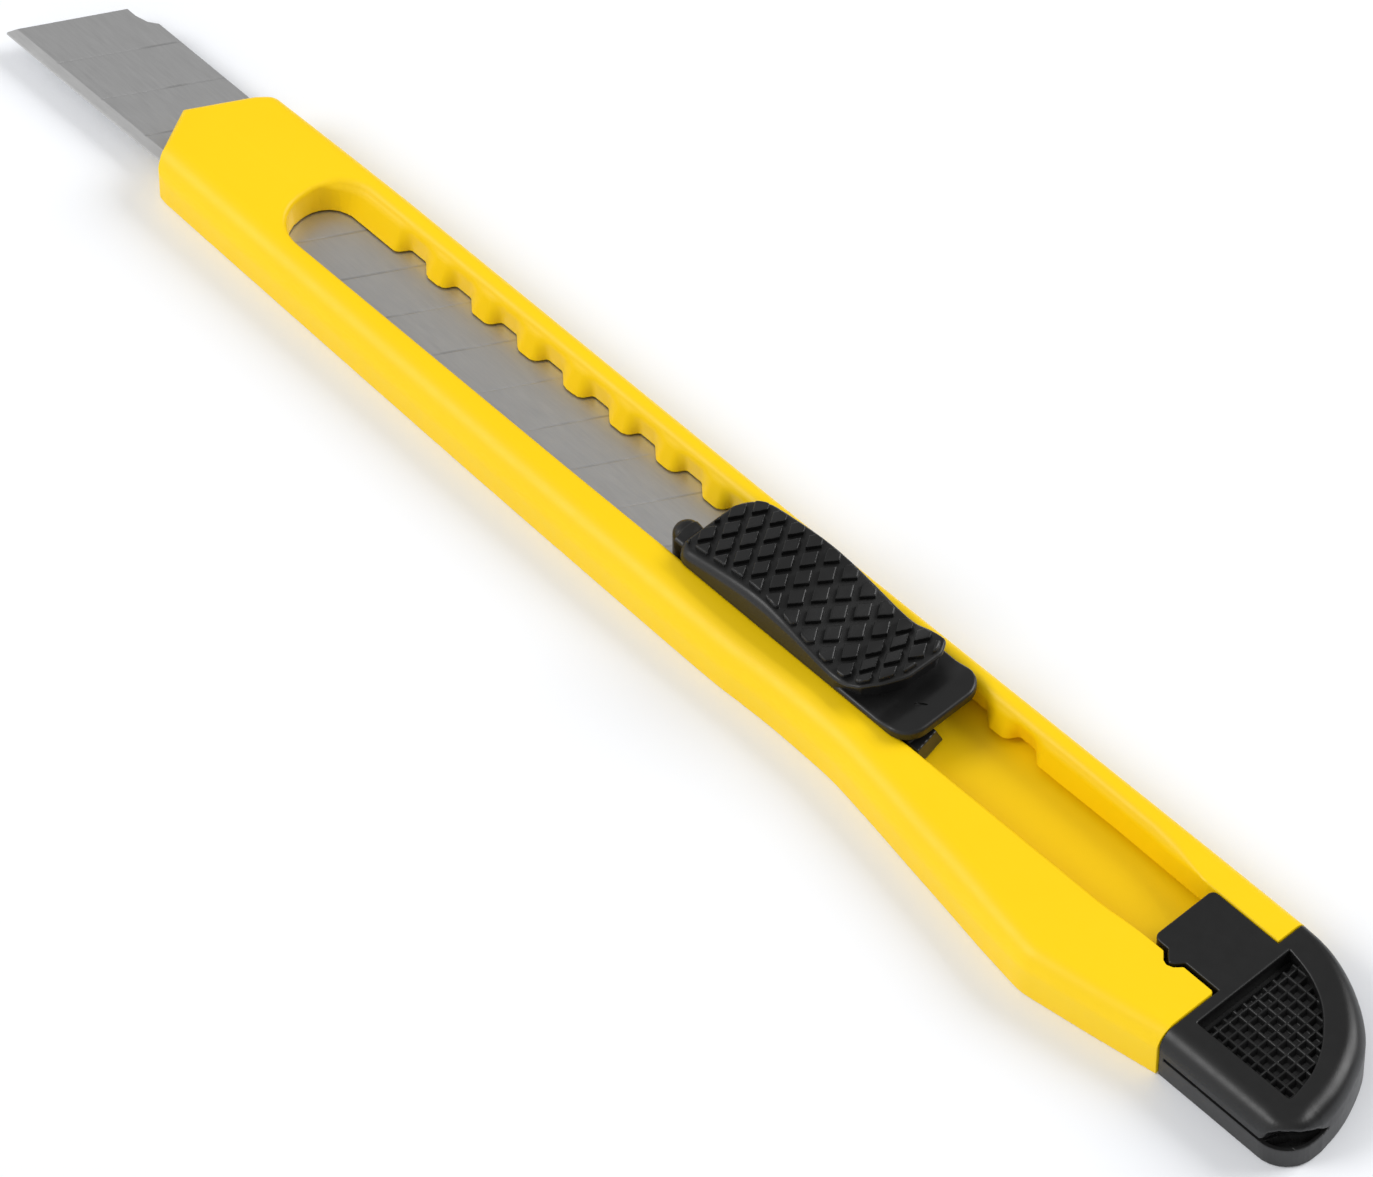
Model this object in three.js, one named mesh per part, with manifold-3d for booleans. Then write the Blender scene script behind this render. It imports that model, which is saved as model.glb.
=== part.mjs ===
// Utility knife with a 9 mm snap-off blade: a one-piece moulded handle with a toothed slot,
// a thumb slider that carries the blade, a ratchet spring and a push-in end cap.
// Units are millimetres, +Z up. X runs from the blade tip (-X) to the end cap (+X),
// -Y is the side of the cutting edge, +Z is the side of the thumb slider.
// The outlines are drawn with x = 0 at the blade tip and z = 0 on the blade's upper face,
// and the whole assembly is then shifted so that the origin lies under its middle.
import * as THREE from 'three';
import { mergeVertices } from 'three/addons/utils/BufferGeometryUtils.js';
import Module from 'manifold-3d';

const wasm = await Module();
wasm.setup();

// ---------------------------------------------------------------- driving dimensions
const X_MID = 70.63, Y_MID = -2.575, Z_BASE = -1.9;   // drawing point that becomes the origin
const Z_TOP = 2.6;                                  // upper face of the handle
const Z_FLOOR = -0.5, Z_LIP = 0.15, Z_RACK = 1.4;   // channel floor, underside of the lips, top of the rack
const BODY_END = 128.25;                            // rear end of the handle
const BODY_BEVEL = 0.5;

const BLADE_W = 9.0, BLADE_T = 0.4, BLADE_L = 80.0; // 9 mm snap-off blade
const SEGMENT = 5.0, SCORE_DEG = 60, SCORE_W = 0.22, SCORE_D = 0.08;
const EDGE_W = 0.9;                                 // ground bevel along the cutting edge
const HOLE_X = 77.0, HOLE_R = 1.25;

const PITCH = 4.91, NOTCH_X = 38.5, NOTCHES = 15;   // rack of teeth along the far lip
const TOOTH_TIP = 2.17, TOOTH_RISE = 0.0125, TOOTH_H = 0.93; // the rack leans outwards a little to the rear

const CHANNEL_Y = [-4.72, 4.66];                    // blade channel
const SLOT_FRONT = 29.5, SLOT_NEAR = -3.72, SLOT_FAR = 3.3, SLOT_FAR_REAR = 3.8;

const PLATE_X = [73.9, 98.1], PLATE_Y = [-4.2, 3.9], PLATE_Z = [2.66, 3.55];
const PAD_X = [74.0, 94.9], PAD_Y = [-4.1, 3.7];
const KNOB_X = 72.9, KNOB_Y = -1.85, KNOB_R = 1.1, KNOB_TOP = 3.3;
const BAR_X = [74.3, 98.2], BAR_Y = [-3.45, -1.25]; // carrier bar inside the slot
const FOOT_X = [85.7, 96.3], FOOT_Y = [-4.4, 4.3], FOOT_Z = [-0.42, 0.08]; // flange under both lips, behind the blade
const WEB_Z = [0.06, 0.34];
const PIVOT_X = 87.1, PIVOT_Y = 0.9, POST_R = 0.55, EYE_R = 0.62, ROOT_R = 1.15;
const SPRING_Z = [0.45, 1.15];
const PAWL_NOTCH = 8;                               // notch that the pawl sits in at rest
const PAWL_X = NOTCH_X + PITCH * PAWL_NOTCH;

const CAP_FRONT = 128.35, TONGUE_X = 121.8, TONGUE_Y = [-3.0, 2.95], PLUG_Y = [-4.55, 4.5];
const GRIP_Z = 1.75;                                // floor of the recess in the cap
const SNAP_Z = [0.0, 0.5];                          // slit that takes the blade's end segment

// ---------------------------------------------------------------- helpers
const toSolid = (g) => {
  const h = g.clone();
  h.deleteAttribute('normal'); h.deleteAttribute('uv');
  const m = mergeVertices(h, 1e-4);
  return new wasm.Manifold(new wasm.Mesh({
    numProp: 3,
    vertProperties: new Float32Array(m.attributes.position.array),
    triVerts: new Uint32Array(m.index.array),
  }));
};
const toGeometry = (s) => {
  const m = s.getMesh();
  const g = new THREE.BufferGeometry();
  const p = new Float32Array((m.vertProperties.length / m.numProp) * 3);
  for (let i = 0, j = 0; i < m.vertProperties.length; i += m.numProp, j += 3) {
    p[j] = m.vertProperties[i]; p[j + 1] = m.vertProperties[i + 1]; p[j + 2] = m.vertProperties[i + 2];
  }
  g.setAttribute('position', new THREE.BufferAttribute(p, 3));
  g.setIndex(new THREE.BufferAttribute(new Uint32Array(m.triVerts), 1));
  g.computeVertexNormals();
  return g;
};
// rounds the corners of a polygon given as [x, y, radius]
const rounded = (pts, seg = 5) => {
  const out = [], n = pts.length;
  for (let i = 0; i < n; i++) {
    const [x, y, r = 0] = pts[i];
    if (!r) { out.push(new THREE.Vector2(x, y)); continue; }
    const p = new THREE.Vector2(x, y);
    const a = new THREE.Vector2(...pts[(i + n - 1) % n].slice(0, 2)).sub(p);
    const b = new THREE.Vector2(...pts[(i + 1) % n].slice(0, 2)).sub(p);
    const la = a.length(), lb = b.length(); a.normalize(); b.normalize();
    const ang = Math.acos(Math.max(-1, Math.min(1, a.dot(b))));
    const t = Math.min(r / Math.tan(ang / 2), la * 0.48, lb * 0.48);
    const rr = t * Math.tan(ang / 2);
    const c = a.clone().add(b).normalize().multiplyScalar(rr / Math.sin(ang / 2)).add(p);
    const s0 = p.clone().addScaledVector(a, t), s1 = p.clone().addScaledVector(b, t);
    let a0 = Math.atan2(s0.y - c.y, s0.x - c.x), a1 = Math.atan2(s1.y - c.y, s1.x - c.x);
    let d = a1 - a0; while (d > Math.PI) d -= 2 * Math.PI; while (d < -Math.PI) d += 2 * Math.PI;
    for (let k = 0; k <= seg; k++) {
      const w = a0 + d * k / seg;
      out.push(new THREE.Vector2(c.x + rr * Math.cos(w), c.y + rr * Math.sin(w)));
    }
  }
  return out;
};
const shapeOf = (pts, seg) => new THREE.Shape(rounded(pts, seg));
const prism = (pts, z0, z1, seg = 5) => {
  const g = new THREE.ExtrudeGeometry(shapeOf(pts, seg), { depth: z1 - z0, bevelEnabled: false });
  g.translate(0, 0, z0);
  return toSolid(g);
};
const bevelled = (pts, z0, z1, bevel, segments = 2, seg = 5) => {
  const g = new THREE.ExtrudeGeometry(shapeOf(pts, seg), {
    depth: z1 - z0 - 2 * bevel, bevelEnabled: true, bevelThickness: bevel, bevelSize: bevel,
    bevelOffset: -bevel, bevelSegments: segments,
  });
  g.translate(0, 0, z0 + bevel);
  return toSolid(g);
};
// outline drawn in the XZ plane, pulled along Y
const sidePrism = (pts, y0, y1) => {
  const g = new THREE.ExtrudeGeometry(new THREE.Shape(pts.map((p) => new THREE.Vector2(p[0], p[1]))), {
    depth: y1 - y0, bevelEnabled: false,
  });
  g.rotateX(Math.PI / 2);
  g.translate(0, y1, 0);
  return toSolid(g);
};
const box = (x0, x1, y0, y1, z0, z1) => {
  const g = new THREE.BoxGeometry(x1 - x0, y1 - y0, z1 - z0);
  g.translate((x0 + x1) / 2, (y0 + y1) / 2, (z0 + z1) / 2);
  return toSolid(g);
};
const post = (x, y, r, z0, z1, n = 20) => {
  const g = new THREE.CylinderGeometry(r, r, z1 - z0, n);
  g.rotateX(Math.PI / 2);
  g.translate(x, y, (z0 + z1) / 2);
  return toSolid(g);
};
const join = (...s) => s.reduce((a, b) => a.add(b));

// ---------------------------------------------------------------- handle
const handleOutline = [
  [17.0, -1.2, 0.8], [19.45, -5.95, 0.9], [20.6, -6.12], [30, -6.4], [45, -6.85], [59, -7.25], [72, -7.48],
  [82, -7.56], [85, -7.42], [89.5, -7.38], [93, -7.48], [96, -7.78], [100, -8.4], [105, -9.22], [112, -10.32], [116.6, -10.92, 5],
  [122.4, -10.0], [BODY_END, -9.0],
  [BODY_END, 5.72], [120, 5.68], [109, 5.55], [98, 5.42], [85, 5.28], [73, 5.2], [50, 5.17], [35, 5.15], [28, 5.0],
  [20.75, 4.8, 1.3], [19.75, 3.6],
];
// opening in the upper face, wide part above the rack
const slotUpper = [
  [SLOT_FRONT, SLOT_NEAR - 0.25, 3.2], [62, SLOT_NEAR - 0.25], [100, SLOT_NEAR + 0.07], [118.4, SLOT_NEAR + 0.07],
  [118.4, SLOT_FAR_REAR - 0.1], [110, SLOT_FAR_REAR], [75, SLOT_FAR + 0.2], [40, SLOT_FAR], [SLOT_FRONT, SLOT_FAR, 3.4],
];
// the same opening at the level of the teeth; it runs out through the rear end
const tip = (x) => TOOTH_TIP + TOOTH_RISE * (x - 36);
const rack = [[SLOT_FRONT, TOOTH_TIP, 2.8], [NOTCH_X - 1.6, TOOTH_TIP, 0.4]];
for (let k = 0; k < NOTCHES; k++) {
  const x = NOTCH_X + PITCH * k;
  rack.push([x - 0.85, tip(x) + TOOTH_H, 0.3], [x + 0.75, tip(x) + TOOTH_H, 0.3], [x + 1.85, tip(x + 2), 0.4]);
  if (k < NOTCHES - 1) rack.push([x + PITCH - 1.45, tip(x + PITCH - 1.5), 0.4]);
}
const slotLower = [
  [SLOT_FRONT, SLOT_NEAR, 2.8], [BODY_END + 2, SLOT_NEAR],
  [BODY_END + 2, 3.05], [121.5, 3.05], [118.4, 3.05],
  ...rack.reverse(),
];
let handle = bevelled(handleOutline, Z_BASE, Z_TOP, BODY_BEVEL, 2, 5)
  .subtract(box(10, 140, CHANNEL_Y[0], CHANNEL_Y[1], Z_FLOOR, Z_LIP))
  .subtract(prism(slotUpper, Z_RACK, Z_TOP + 1, 7))
  .subtract(prism(slotLower, Z_LIP - 0.2, Z_RACK + 0.01, 3))
  // seat of the cap's tongue with the notch for its latch
  .subtract(prism([[118.3, SLOT_NEAR + 0.07], [BODY_END + 2, SLOT_NEAR + 0.07], [BODY_END + 2, 3.05], [118.3, 3.05]], Z_RACK - 0.2, Z_TOP + 1))
  .subtract(prism([[123.0, -3.4], [123.6, -3.95], [124.2, -4.2], [124.8, -3.95], [125.4, -3.4]], Z_LIP - 0.2, Z_TOP + 1));

// ---------------------------------------------------------------- blade
const slant = BLADE_W / Math.tan(SCORE_DEG * Math.PI / 180);
const h2 = BLADE_W / 2;
let blade = prism([
  [0.25, -h2], [BLADE_L - 0.15, -h2], [BLADE_L + slant - 1.0, h2 - 1.6, 0.4], [BLADE_L + slant - 1.6, h2],
  [7.4, h2], [6.3, h2 - 0.72], [4.9, h2 - 0.7],
], -BLADE_T, 0, 3);
blade = blade.subtract(post(HOLE_X, 0, HOLE_R, -1, 1, 24));
// ground cutting edge: a wedge is taken off both faces
for (const s of [1, -1]) {
  const zc = -BLADE_T / 2, t = BLADE_T / 2;
  const g = new THREE.ExtrudeGeometry(new THREE.Shape([
    new THREE.Vector2(-h2 + EDGE_W, zc + s * t), new THREE.Vector2(-h2 - 0.1, zc + s * 0.015),
    new THREE.Vector2(-h2 - 0.1, zc + s * (t + 0.3)), new THREE.Vector2(-h2 + EDGE_W, zc + s * (t + 0.3)),
  ]), { depth: 100, bevelEnabled: false });
  g.rotateX(Math.PI / 2); g.rotateZ(Math.PI / 2); g.translate(-5, 0, 0);
  blade = blade.subtract(toSolid(g));
}
// score lines across the upper face, where the segments snap off
for (let k = 1; k <= 14; k++) {
  const g = new THREE.ExtrudeGeometry(new THREE.Shape([
    new THREE.Vector2(-SCORE_W / 2, 0.02), new THREE.Vector2(0, -SCORE_D), new THREE.Vector2(SCORE_W / 2, 0.02),
  ]), { depth: BLADE_W / Math.sin(SCORE_DEG * Math.PI / 180) + 1.2, bevelEnabled: false });
  g.rotateX(Math.PI / 2);
  g.translate(0, BLADE_W / Math.sin(SCORE_DEG * Math.PI / 180) + 0.6, 0);
  g.rotateZ(-(90 - SCORE_DEG) * Math.PI / 180);
  g.translate(SEGMENT * k, -h2, 0);
  if (SEGMENT * k < 71) blade = blade.subtract(toSolid(g));
}

// ---------------------------------------------------------------- thumb slider
const padProfile = [
  [PAD_X[0], PLATE_Z[1] - 0.2], [PAD_X[1] - 0.3, PLATE_Z[1] - 0.2], [PAD_X[1], 4.75], [94.4, 5.15], [93.3, 5.1], [92.4, 4.85],
  [91.2, 4.4], [90, 4.25], [88.6, 4.5], [86, 5.16], [83.6, 5.6], [82, 5.7], [80.2, 5.6], [77.8, 5.2],
  [75.8, 4.65], [74.6, 4.2], [PAD_X[0], 3.9],
];
const plateOutline = [
  [PLATE_X[0], PLATE_Y[0], 1.2], [PLATE_X[1], PLATE_Y[0], 1.3], [PLATE_X[1], PLATE_Y[1], 1.3], [PLATE_X[0], PLATE_Y[1], 1.6],
];
const padBlock = sidePrism(padProfile, PAD_Y[0], PAD_Y[1])
  .intersect(prism([[PAD_X[0], PAD_Y[0], 1.0], [PAD_X[1], PAD_Y[0], 1.0], [PAD_X[1], PAD_Y[1], 1.0], [PAD_X[0], PAD_Y[1], 1.4]], 3, 7));
const knobProfile = [[0, 0.12], [KNOB_R, 0.12], [KNOB_R, KNOB_TOP - 0.45], [KNOB_R - 0.16, KNOB_TOP - 0.16], [KNOB_R - 0.5, KNOB_TOP - 0.02], [0, KNOB_TOP]]
  .map((p) => new THREE.Vector2(p[0], p[1]));
const knobGeo = new THREE.LatheGeometry(knobProfile, 20);
knobGeo.rotateX(Math.PI / 2);
knobGeo.translate(KNOB_X, KNOB_Y, 0);
const button = join(
  bevelled(plateOutline, PLATE_Z[0], PLATE_Z[1], 0.25, 1, 5),
  padBlock,
  toSolid(knobGeo),
  box(KNOB_X, PLATE_X[0] + 1.5, KNOB_Y - 0.85, KNOB_Y + 0.8, PLATE_Z[0], 3.2),
  // two pegs that snap into the carrier
  box(80, 82.6, -2.85, -1.85, 0.9, PLATE_Z[0] + 0.2),
  box(90, 92.6, -2.85, -1.85, 0.9, PLATE_Z[0] + 0.2),
);

// ---------------------------------------------------------------- blade carrier
const carrier = join(
  prism([[FOOT_X[0], FOOT_Y[0], 0.6], [FOOT_X[1], FOOT_Y[0], 0.6], [FOOT_X[1], FOOT_Y[1], 0.6], [FOOT_X[0], FOOT_Y[1], 0.6]], FOOT_Z[0], FOOT_Z[1], 3),
  box(FOOT_X[0], FOOT_X[1] - 0.5, BAR_Y[1] - 0.1, 2.1, FOOT_Z[0] + 0.1, WEB_Z[1]),  // seat of the spring's post
  box(75.4, 78.6, BAR_Y[1] - 0.1, 0.6, WEB_Z[0], WEB_Z[1]),                         // web out to the pin
  prism([[BAR_X[0], BAR_Y[0], 0.3], [BAR_X[1], BAR_Y[0], 0.3], [BAR_X[1], BAR_Y[1], 0.3], [BAR_X[0], BAR_Y[1], 0.3]], WEB_Z[0], 2.56, 3),
  post(HOLE_X, 0, HOLE_R - 0.12, -0.38, WEB_Z[1] - 0.02, 20),      // pin in the blade's hole
  post(PIVOT_X, PIVOT_Y, POST_R, WEB_Z[1] - 0.1, 2.3, 16),         // post of the ratchet spring
)
  .subtract(box(79.88, 82.72, -2.97, -1.73, 0.78, 3))
  .subtract(box(89.88, 92.72, -2.97, -1.73, 0.78, 3))
  .subtract(post(KNOB_X, KNOB_Y, KNOB_R + 0.12, -1, 4, 24));

// ---------------------------------------------------------------- ratchet spring
// the arm runs forward from its eye and its nub reaches out into a notch of the rack
// the rack leans outwards, so the nub is as tall as the first, shallowest notch allows
const NUB_Y = tip(NOTCH_X) + TOOTH_H - 0.1;
const springPlan = [
  [PIVOT_X, PIVOT_Y + 0.85], [PIVOT_X - 3, 1.6], [PAWL_X + 1.15, 2.15], [PAWL_X + 0.35, NUB_Y, 0.25], [PAWL_X - 0.45, NUB_Y, 0.25],
  [PAWL_X - 0.95, 2.2], [PAWL_X - 0.95, 1.35, 0.3], [PIVOT_X - 3, 0.75], [PIVOT_X, PIVOT_Y - 0.75],
];
const spring = join(
  post(PIVOT_X, PIVOT_Y, ROOT_R, SPRING_Z[0], SPRING_Z[1], 24),
  prism(springPlan, SPRING_Z[0], SPRING_Z[1], 3),
).subtract(post(PIVOT_X, PIVOT_Y, EYE_R, 0, 3, 20));

// ---------------------------------------------------------------- end cap
const capOutline = [
  [CAP_FRONT, -8.85], [141.05, -8.9, 2.8], [140.97, -5.3], [140.62, -3.3], [139.95, -1.3], [138.88, 0.85],
  [137.72, 2.27], [136.25, 3.44], [134.58, 4.38], [133.03, 5.0], [131.5, 5.42], [130.0, 5.65], [CAP_FRONT, 5.72],
];
const gripOutline = [
  [129.2, -6.1, 0.2], [138.4, -6.1, 0.2], [138.15, -4.6], [137.5, -2.8], [136.8, -1.6], [136, -0.55], [135, 0.45], [134, 1.25],
  [133, 1.9], [132, 2.4], [130.8, 2.8], [129.2, 3.1, 0.3],
];
const snapPlan = [
  [CAP_FRONT + 0.3, -9.5], [142, -9.5], [142, -5.0], [139.8, -5.2], [138.6, -6.8], [137.4, -7.9], [CAP_FRONT + 0.3, -7.9],
];
const cap = join(
  bevelled(capOutline, Z_BASE, Z_TOP, BODY_BEVEL, 2, 4),
  // plug in the blade channel and tongue in the slot
  box(TONGUE_X, CAP_FRONT + 1, PLUG_Y[0], PLUG_Y[1], Z_FLOOR + 0.06, Z_LIP - 0.08),
  prism([
    [TONGUE_X, TONGUE_Y[0], 0.6], [123.4, TONGUE_Y[0]], [123.8, -3.4], [124.2, -3.62, 0.15], [124.6, -3.4], [125.0, TONGUE_Y[0]],
    [CAP_FRONT + 1, TONGUE_Y[0]], [CAP_FRONT + 1, TONGUE_Y[1]], [TONGUE_X, TONGUE_Y[1], 0.5],
  ], Z_LIP - 0.1, Z_TOP, 3),
)
  .subtract(prism(gripOutline, GRIP_Z, Z_TOP + 1, 3))
  .subtract(prism(snapPlan, SNAP_Z[0], SNAP_Z[1], 1));

// ---------------------------------------------------------------- assembly
const yellow = { color: 0xfed61f, roughness: 0.42, metalness: 0 };
const black = { color: 0x2d2d2d, roughness: 0.55, metalness: 0 };
const steel = { color: 0x9a9a9a, roughness: 0.35, metalness: 0.9 };
const spring_steel = { color: 0x8a8c8e, roughness: 0.3, metalness: 1 };

const knife = new THREE.Group();
const place = (name, solid, look) => {
  const mesh = new THREE.Mesh(toGeometry(solid), new THREE.MeshStandardMaterial(look));
  mesh.name = name;
  knife.add(mesh);
};
place('body_shell', handle, yellow);
place('blade', blade, steel);
place('slider_button', button, black);
place('blade_carrier', carrier, black);
place('ratchet_spring', spring, spring_steel);
place('end_cap', cap, black);
knife.position.set(-X_MID, -Y_MID, -Z_BASE);

export default knife;
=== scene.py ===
import math
import bpy
import numpy as np
from mathutils import Matrix, Vector


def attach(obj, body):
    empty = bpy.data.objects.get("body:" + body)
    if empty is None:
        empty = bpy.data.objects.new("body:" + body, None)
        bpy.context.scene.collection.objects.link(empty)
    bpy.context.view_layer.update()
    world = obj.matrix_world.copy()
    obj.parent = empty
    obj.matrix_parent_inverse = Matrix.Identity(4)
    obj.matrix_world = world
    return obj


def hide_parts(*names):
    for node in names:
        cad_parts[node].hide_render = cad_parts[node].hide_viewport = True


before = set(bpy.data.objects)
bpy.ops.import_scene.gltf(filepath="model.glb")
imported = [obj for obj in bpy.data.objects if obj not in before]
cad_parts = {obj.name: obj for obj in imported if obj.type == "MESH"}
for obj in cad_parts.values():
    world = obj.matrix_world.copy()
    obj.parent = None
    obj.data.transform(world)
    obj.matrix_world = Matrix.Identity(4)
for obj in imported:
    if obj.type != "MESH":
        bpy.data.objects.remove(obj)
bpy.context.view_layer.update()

# All outlines below are drawn in millimetres with x = 0 at the blade tip, y = 0 on the blade's
# middle line and z = 0 on its upper face; OX, OY, OZ take a drawn point to the row frame.
OX, OY, OZ = -70.63, 2.575, 1.9
Z_TOP, Z_BASE = 2.6, -1.89
Z_FLOOR, Z_LIP = -0.5, 0.15
BODY_END, CAP_FRONT = 128.25, 128.35


# ------------------------------------------------------------------ outlines
def rounded(pts, seg=10):
    """Closed outline from [x, y, corner radius] points."""
    out = []
    n = len(pts)
    for i in range(n):
        x, y = pts[i][:2]
        r = pts[i][2] if len(pts[i]) > 2 else 0
        if not r:
            out.append((x, y))
            continue
        p = np.array([x, y], float)
        a = np.array(pts[i - 1][:2], float) - p
        b = np.array(pts[(i + 1) % n][:2], float) - p
        la, lb = np.hypot(*a), np.hypot(*b)
        a /= la
        b /= lb
        ang = math.acos(max(-1, min(1, float(a @ b))))
        ra = len(pts[i - 1]) > 2 and pts[i - 1][2]
        rb = len(pts[(i + 1) % n]) > 2 and pts[(i + 1) % n][2]
        t = min(r / math.tan(ang / 2), la * (0.49 if ra else 0.98), lb * (0.49 if rb else 0.98))
        rr = t * math.tan(ang / 2)
        m = a + b
        m /= np.hypot(*m)
        c = p + m * rr / math.sin(ang / 2)
        s0, s1 = p + a * t, p + b * t
        a0 = math.atan2(*(s0 - c)[::-1])
        d = math.atan2(*(s1 - c)[::-1]) - a0
        d = (d + math.pi) % (2 * math.pi) - math.pi
        for k in range(seg + 1):
            w = a0 + d * k / seg
            out.append((c[0] + rr * math.cos(w), c[1] + rr * math.sin(w)))
    return np.array(out)


def spline(pts, n=6):
    """Open Catmull-Rom curve through the points."""
    P = np.array(pts, float)
    P = np.vstack([2 * P[0] - P[1], P, 2 * P[-1] - P[-2]])
    out = []
    for i in range(1, len(P) - 2):
        p0, p1, p2, p3 = P[i - 1 : i + 3]
        for k in range(n):
            t = k / n
            out.append(
                0.5 * (2 * p1 + (p2 - p0) * t + (2 * p0 - 5 * p1 + 4 * p2 - p3) * t * t
                       + (3 * p1 - p0 - 3 * p2 + p3) * t ** 3)
            )
    out.append(P[-2])
    return np.array(out)


class Plan:
    """Signed distance to a closed outline, inside negative, sampled on a fine grid."""

    def __init__(self, pts, h=0.05, band=2.0, pad=1.0):
        P = np.asarray(pts, float)
        Q = np.roll(P, -1, 0)
        self.lo = P.min(0) - pad
        n = np.ceil((P.max(0) + pad - self.lo) / h).astype(int) + 1
        self.h, self.n = h, n
        xs = self.lo[0] + h * np.arange(n[0])
        ys = self.lo[1] + h * np.arange(n[1])
        D = np.full((n[0], n[1]), band * band, np.float32)
        for p, q in zip(P, Q):
            i0 = max(int((min(p[0], q[0]) - band - self.lo[0]) / h), 0)
            i1 = min(int((max(p[0], q[0]) + band - self.lo[0]) / h) + 2, n[0])
            j0 = max(int((min(p[1], q[1]) - band - self.lo[1]) / h), 0)
            j1 = min(int((max(p[1], q[1]) + band - self.lo[1]) / h) + 2, n[1])
            X = xs[i0:i1, None] - p[0]
            Y = ys[None, j0:j1] - p[1]
            d = q - p
            L = d @ d
            if L < 1e-14:
                continue
            t = np.clip((X * d[0] + Y * d[1]) / L, 0, 1)
            S = (X - t * d[0]) ** 2 + (Y - t * d[1]) ** 2
            np.minimum(D[i0:i1, j0:j1], S, out=D[i0:i1, j0:j1])
        D = np.sqrt(D)
        inside = np.zeros(D.shape, bool)
        for j, y in enumerate(ys):
            m = (P[:, 1] > y) != (Q[:, 1] > y)
            if m.any():
                x = P[m, 0] + (y - P[m, 1]) * (Q[m, 0] - P[m, 0]) / (Q[m, 1] - P[m, 1])
                inside[:, j] = (np.searchsorted(np.sort(x), xs) & 1).astype(bool)
        self.D = np.where(inside, -D, D).astype(np.float32)

    def __call__(self, x, y):
        u = np.clip((x - self.lo[0]) / self.h, 0, self.n[0] - 1.001)
        v = np.clip((y - self.lo[1]) / self.h, 0, self.n[1] - 1.001)
        i = u.astype(np.int32)
        j = v.astype(np.int32)
        u = u - i
        v = v - j
        D = self.D
        return (D[i, j] * (1 - u) + D[i + 1, j] * u) * (1 - v) + (D[i, j + 1] * (1 - u) + D[i + 1, j + 1] * u) * v


# ------------------------------------------------------------------ solids as signed distances
def rmax(a, b, r):
    """Intersection of two solids with its outer edge rounded to radius r."""
    return np.sqrt(np.maximum(a + r, 0) ** 2 + np.maximum(b + r, 0) ** 2) + np.minimum(np.maximum(a, b) + r, 0) - r


def rmin(a, b, r):
    """Union of two solids with its inner corner filled to radius r."""
    return -rmax(-a, -b, r)


def slab(v, lo, hi):
    return np.maximum(lo - v, v - hi)


def smooth(t):
    t = np.clip(t, 0, 1)
    return t * t * (3 - 2 * t)


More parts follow.
